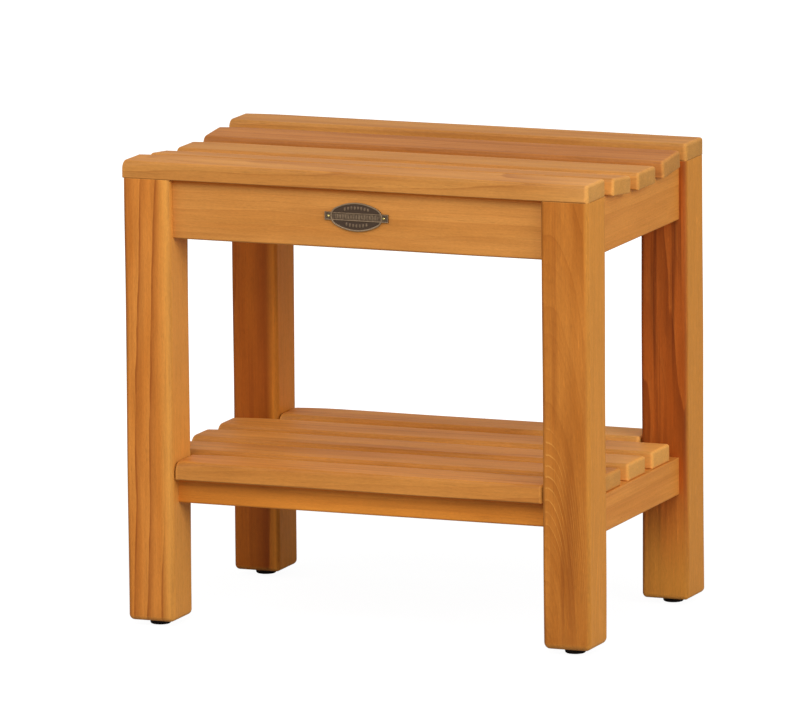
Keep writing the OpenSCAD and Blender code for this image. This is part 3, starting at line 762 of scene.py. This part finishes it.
def plate():
    """The oval and the strap over it. The strap has raised borders and fine ribs between them,
    the cosine of the place along it times a pillow across it."""
    across = spread(OVAL_COLUMNS, OVAL_STOP)[:, None] * OVAL_A
    up = spread(OVAL_ROWS)[None, :] * oval_half(across)
    height = relief(across, up)
    oval, oval_mark = plaque(across, up, PLATE_T + PLATE_RELIEF * height, height)

    along = np.linspace(-STRAP_A, STRAP_A, STRAP_COLUMNS)[:, None]
    over = spread(STRAP_ROWS)[None, :] * STRAP_B
    border = np.maximum(pillow(np.abs(over) - STRAP_B + BORDER_LONG, BORDER_LONG),
                        0.6 * pillow(np.abs(along) - STRAP_A + BORDER_END, BORDER_END))
    ribs = (0.5 + 0.5 * np.cos(along * 2 * math.pi / RIB_PITCH)) * pillow(over, RIB_HALF)
    ribs = 0.6 * ribs * (np.abs(along) < RIBS_END)
    height = np.maximum(border, ribs)
    face = PLATE_T + PLATE_RELIEF * (STRAP_BASE + (1 - STRAP_BASE) * height)
    strap, strap_mark = plaque(along, over, face, 0.4 + 0.5 * height)

    marks = {"raised": np.concatenate([oval_mark, strap_mark])}
    thing = solid("nameplate_cast", [oval, strap], "bench", ["nameplate"], marks)
    thing.data.materials.append(metal("plate_metal", (84, 66, 52), (150, 126, 98), 0.45, 0.7))


def lathe(profile, steps):
    """A solid of revolution about Z from (radius, height) pairs, in millimetres: points x, y, z
    by rows and the faces."""
    radius, height = np.array(profile, float).T
    angle = np.arange(steps) * 2 * math.pi / steps
    radius = np.maximum(radius, 0.01)[:, None]
    points = np.stack([radius * np.cos(angle), radius * np.sin(angle),
                       np.broadcast_to(height[:, None], (len(radius), steps))], -1)
    return points, skin(len(radius), steps)


def quarter(centre, radius, start, steps):
    """Profile points of a quarter circle about a centre, anticlockwise from an angle in
    degrees."""
    angles = np.radians(start + np.linspace(0, 90, steps))
    return [(centre[0] + radius * math.cos(a), centre[1] + radius * math.sin(a)) for a in angles]


def pins():
    """Round-headed pins: the head is part of an ellipse."""
    angles = np.linspace(0, math.pi / 2, 8)
    face = PLATE_T + PLATE_RELIEF
    profile = [(0, -PIN_L), (PIN_R, -PIN_L + PIN_TIP), (PIN_R, face), (PIN_HEAD_R, face)]
    profile += [(PIN_HEAD_R * math.cos(a), face + PIN_HEAD_H * math.sin(a)) for a in angles[1:]]
    points, faces = lathe(profile, 24)
    shells = [(on_apron(points[..., 0] + x, points[..., 1], points[..., 2]), faces)
              for x in (-PIN_X, PIN_X)]
    thing = solid("nameplate_pin_heads", shells, "bench", ["nameplate_pins"])
    thing.data.materials.append(metal("pin_brass", (214, 196, 120), (232, 218, 150), 0.3))


# ---- the glides, in millimetres ----

PAD_H, PAD_R, PAD_RIM, PAD_EDGE = 5.5, 9.5, 1.8, 0.4
HOLLOW_R, HOLLOW_H, TREAD_R = 4.6, 0.3, 5.2             # the hollow below, and the tread's start
SOCKET, STEM_PLAY = 3.0, 0.05
STEM_R, STEM_TOP, STEM_CHAMFER = 3.0, 30.5, 1
THREAD_PITCH, THREAD_DEPTH, THREAD_SLOPE, THREAD_CREST = 1.0, 0.35, 1.25, 0.12
PAD_STEPS, STEM_STEPS, STEM_ROWS = 64, 32, 260


def pad_shape():
    """A pad turned about Z: a shallow hollow and a tread below, a quarter circle at the rim, a
    small one at the top, and a socket for the stem."""
    hole_r, hole_z = STEM_R + STEM_PLAY, PAD_H - SOCKET
    profile = [(0, HOLLOW_H), (HOLLOW_R, HOLLOW_H), (TREAD_R, 0.0)]
    profile += quarter((PAD_R - PAD_RIM, PAD_RIM), PAD_RIM, -90, 6)
    profile += quarter((PAD_R - PAD_EDGE, PAD_H - PAD_EDGE), PAD_EDGE, 0, 4)
    profile += [(hole_r, PAD_H), (hole_r, hole_z), (0, hole_z)]
    return lathe(profile, PAD_STEPS)


def stem_shape():
    """A threaded stem. Its radius falls and rises with the fraction of a turn left over: height
    over pitch less the angle over a full turn. It is plain in the pad and chamfered on top."""
    heights = np.linspace(PAD_H - SOCKET, STEM_TOP, STEM_ROWS)
    points, faces = lathe([(STEM_R, h) for h in heights], STEM_STEPS)
    x, y, z = np.moveaxis(points, -1, 0)
    turn = z / THREAD_PITCH - np.arctan2(y, x) / (2 * math.pi)
    groove = 1 - np.abs(2 * (turn - np.floor(turn)) - 1)
    cut = THREAD_DEPTH * np.clip(THREAD_SLOPE * groove - THREAD_CREST, 0, 1)
    cut = np.where(z < PAD_H, 0, cut)
    chamfer = np.clip(z - (STEM_TOP - STEM_CHAMFER), 0, STEM_CHAMFER)
    shrink = (STEM_R - np.maximum(cut, chamfer)) / STEM_R
    return points * np.stack([shrink, shrink, np.ones_like(shrink)], -1), faces


def rubber(name):
    """Black rubber whose tint and roughness follow a fine noise."""
    material, g, shader = new_material(name, Specular_IOR_Level=0.25)
    place = g.scaled(g.node("TexCoord").outputs["Object"], PER_M)
    grit = g.noise(g.scaled(place, RUBBER_REPEATS), 3.0)
    tint = g.mix(g.remap(grit, 0.3, 0.7), linear(22, 11, 7), linear(38, 22, 15))
    join(g.tree, shader, grit, GRIT_DEPTH, Base_Color=tint,
         Roughness=g.remap(grit, 0, 1, 0.5, 0.8))
    return material


def glides():
    """A black pad and a threaded stem under each leg, on a body of their own."""
    pad_points, pad_faces = pad_shape()
    stem_points, stem_faces = stem_shape()
    black = rubber("glide_rubber")
    steel = metal("stem_steel", (194, 195, 198), (216, 216, 218), 0.35)
    for corner in (end + "_" + side for end in ENDS for side in SIDES):
        low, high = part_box("glide_pad_" + corner)
        foot = np.array([(low.x + high.x) / 2, (low.y + high.y) / 2, 0])
        pad = solid("glide_pad_moulded_" + corner, [(pad_points * MM + foot, pad_faces)],
                    "glide_" + corner, ["glide_pad_" + corner])
        pad.data.materials.append(black)
        stem = solid("glide_stem_threaded_" + corner, [(stem_points * MM + foot, stem_faces)],
                     "glide_" + corner, ["glide_stem_" + corner])
        stem.data.materials.append(steel)


def hardware():
    """Materials for the screws, dowels and threaded inserts, which keep their CAD solids."""
    steel = metal("stainless", (202, 202, 199), (222, 222, 219), 0.3)
    dress("seat_screws", steel)
    dress("shelf_screws", steel)
    dress("glide_inserts", metal("insert_brass", (190, 160, 92), (222, 196, 126), 0.35))
    low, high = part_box("seat_dowels")
    dress("seat_dowels", teak("dowel_wood", "sand", "z", (low + high) / 2,
                              Seed=FIRST_SEED["dowels"], Ring=2))


# ---- studio ----

CAM_AZIMUTH, CAM_ELEVATION, CAM_ROLL = 21.86492, 10.13822, -0.4821
CAM_DISTANCE = 10.76634
CAM_TARGET = Vector((-0.01816715, 0.0, 0.22536184))
CAM_FOCAL = 11806.1953                                  # in pixels of the photograph's frame
CAM_CENTRE = (397.69668, 368.01727)                     # where the lens's axis meets it
FRAME_W, FRAME_H = 800, 719
SENSOR = 36.0
# Each lamp's place, the side of its square and its power.
LAMPS = {"key": ((0.5, -2.1, 1.8), 1.6, 37), "fill_right": ((3.0, -1.3, 1.6), 1.8, 54),
         "fill_left": ((-1.6, -1.2, 1.7), 1.3, 13), "top": ((0.2, 0.1, 2.8), 1.6, 6)}
LAMP_AIM = Vector((0, 0, 0.22))
ROOM_LIGHT = 0.45
FLOOR_REACH, FLOOR_PAINT, FLOOR_GLOW = 14.0, 0.4, 1.2
FADE_START, FADE_END, FADE_FROM = 0.3, 0.9, 0.8         # the floor's share of white near the bench


def camera():
    """The photograph's camera: azimuth and elevation about the target, then a roll."""
    data = bpy.data.cameras.new("camera")
    eye = bpy.data.objects.new("camera", data)
    bpy.context.scene.collection.objects.link(eye)
    a, e, r = (math.radians(v) for v in (CAM_AZIMUTH, CAM_ELEVATION, CAM_ROLL))
    back = Vector((math.sin(a) * math.cos(e), -math.cos(a) * math.cos(e), math.sin(e)))
    level = Vector((math.cos(a), math.sin(a), 0))
    upright = back.cross(level)
    right = level * math.cos(r) + upright * math.sin(r)
    up = upright * math.cos(r) - level * math.sin(r)
    turned = Matrix((right, up, back)).transposed().to_4x4()
    eye.matrix_world = Matrix.Translation(CAM_TARGET + back * CAM_DISTANCE) @ turned
    data.sensor_width = SENSOR
    data.lens = SENSOR * CAM_FOCAL / FRAME_W
    data.shift_x = (FRAME_W / 2 - CAM_CENTRE[0]) / FRAME_W
    data.shift_y = (CAM_CENTRE[1] - FRAME_H / 2) / FRAME_W
    data.clip_start, data.clip_end = 0.1, 60
    bpy.context.scene.camera = eye


def lamps():
    """Square soft boxes, each facing the bench."""
    for name, (place, size, power) in LAMPS.items():
        data = bpy.data.lights.new(name, "AREA")
        data.size = size
        data.energy = power
        box = bpy.data.objects.new(name, data)
        bpy.context.scene.collection.objects.link(box)
        box.location = place
        box.rotation_euler = (LAMP_AIM - Vector(place)).to_track_quat("-Z", "Y").to_euler()


def room():
    """A white room that is dim to what it lights and white to the camera."""
    world = bpy.data.worlds.new("studio")
    bpy.context.scene.world = world
    world.use_nodes = True
    g = Graph(world.node_tree)
    sky = world.node_tree.nodes["Background"]
    seen = g.node("LightPath").outputs["Is Camera Ray"]
    strength = g.math("MULTIPLY_ADD", seen, 1 - ROOM_LIGHT, ROOM_LIGHT)
    world.node_tree.links.new(strength, sky.inputs["Strength"])
    sky.inputs["Color"].default_value = (1, 1, 1, 1)


def ground():
    """A pale floor that keeps the bench's shadow, fades to white away from it and is open from
    below."""
    reach = FLOOR_REACH
    mesh = bpy.data.meshes.new("floor")
    mesh.from_pydata([(-reach, -reach, 0), (reach, -reach, 0), (reach, reach, 0),
                      (-reach, reach, 0)], [], [(0, 1, 2, 3)])
    floor = bpy.data.objects.new("floor", mesh)
    bpy.context.scene.collection.objects.link(floor)
    material = bpy.data.materials.new("floor_white")
    material.use_nodes = True
    tree = material.node_tree
    tree.nodes.clear()
    g = Graph(tree)
    paint = g.node("BsdfDiffuse", [("Color", (FLOOR_PAINT,) * 3 + (1,))]).outputs[0]
    glow = g.node("Emission", [("Color", (1, 1, 1, 1)), ("Strength", FLOOR_GLOW)]).outputs[0]
    clear = g.node("BsdfTransparent").outputs[0]
    away = g.length(g.node("TexCoord").outputs["Object"])
    seen = g.node("LightPath").outputs["Is Camera Ray"]
    white = g.math("MULTIPLY", seen, g.remap(away, FADE_START, FADE_END, FADE_FROM, 1.0))
    surface = g.node("MixShader", [(0, white), (1, paint), (2, glow)])
    under = g.node("NewGeometry").outputs["Backfacing"]
    both = g.node("MixShader", [(0, under), (1, surface.outputs[0]), (2, clear)])
    g.node("OutputMaterial", [("Surface", both.outputs[0])])
    mesh.materials.append(material)


legs()
aprons()
seat_slats()
shelf_slats()
rails()
plate()
pins()
glides()
hardware()
camera()
room()
lamps()
ground()
bpy.context.scene.view_settings.view_transform = "Standard"
